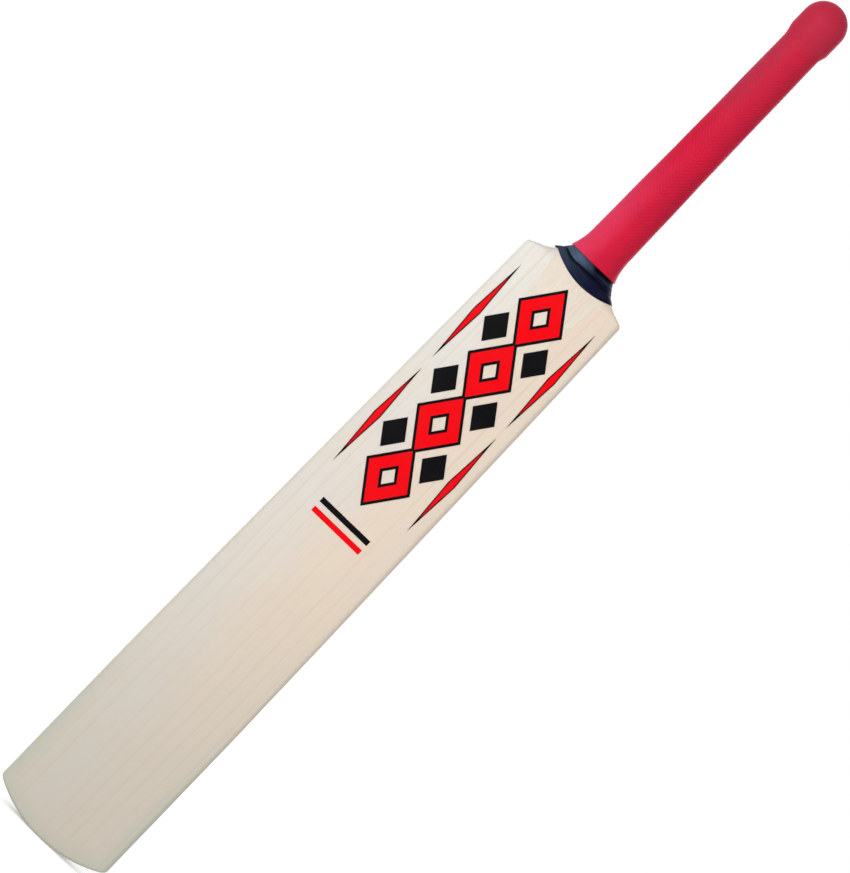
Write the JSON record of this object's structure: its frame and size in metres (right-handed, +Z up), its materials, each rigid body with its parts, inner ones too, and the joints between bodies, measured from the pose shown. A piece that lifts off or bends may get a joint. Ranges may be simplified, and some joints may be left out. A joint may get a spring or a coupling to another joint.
{
  "type": "cricket bat",
  "caption": "Full-size cricket bat: spined willow blade with a rounded toe, spliced cane handle, neck tape and a red rubber grip with a domed end collar.",
  "frame": {"origin": "under the middle of the bat's box, at the height of the toe's lowest point", "axes": "+Z up the bat from the toe to the handle's end; -Y out of the striking face; X across the blade"},
  "size_m": [0.1064, 0.0647, 0.855],
  "materials": {
    "willow": "pale oiled willow, fine straight grain",
    "cane": "bare laminated cane",
    "cheek": "bare cane, glued",
    "spring_rubber": "matte black rubber strip",
    "twine": "waxed twine, close wound",
    "tape": "navy cloth tape, slight sheen",
    "grip_rubber": "satin red rubber with fine chevron ribs",
    "label_black": "satin black vinyl",
    "label_red": "satin red vinyl"
  },
  "bodies": {
    "root": {"blade": "willow", "cane_front_left": "cane", "cane_front_centre": "cane", "cane_front_right": "cane", "cane_inner_front_left": "cane", "cane_inner_front_centre": "cane", "cane_inner_front_right": "cane", "cane_inner_back_left": "cane", "cane_inner_back_centre": "cane", "cane_inner_back_right": "cane", "cane_back_left": "cane", "cane_back_centre": "cane", "cane_back_right": "cane", "splice_cheek_left": "cheek", "splice_cheek_right": "cheek", "spring_front": "spring_rubber", "spring_middle": "spring_rubber", "spring_back": "spring_rubber", "twine_binding": "twine", "neck_tape": "tape", "grip": "grip_rubber", "label_backing": "label_black", "label_diamonds": "label_black", "label_bar_black": "label_black", "label_spindle_backing_left": "label_black", "label_spindle_backing_right": "label_black", "label_lozenges": "label_red", "label_spindles_left": "label_red", "label_spindles_right": "label_red", "label_bar_red": "label_red"}
  },
  "joints": []
}
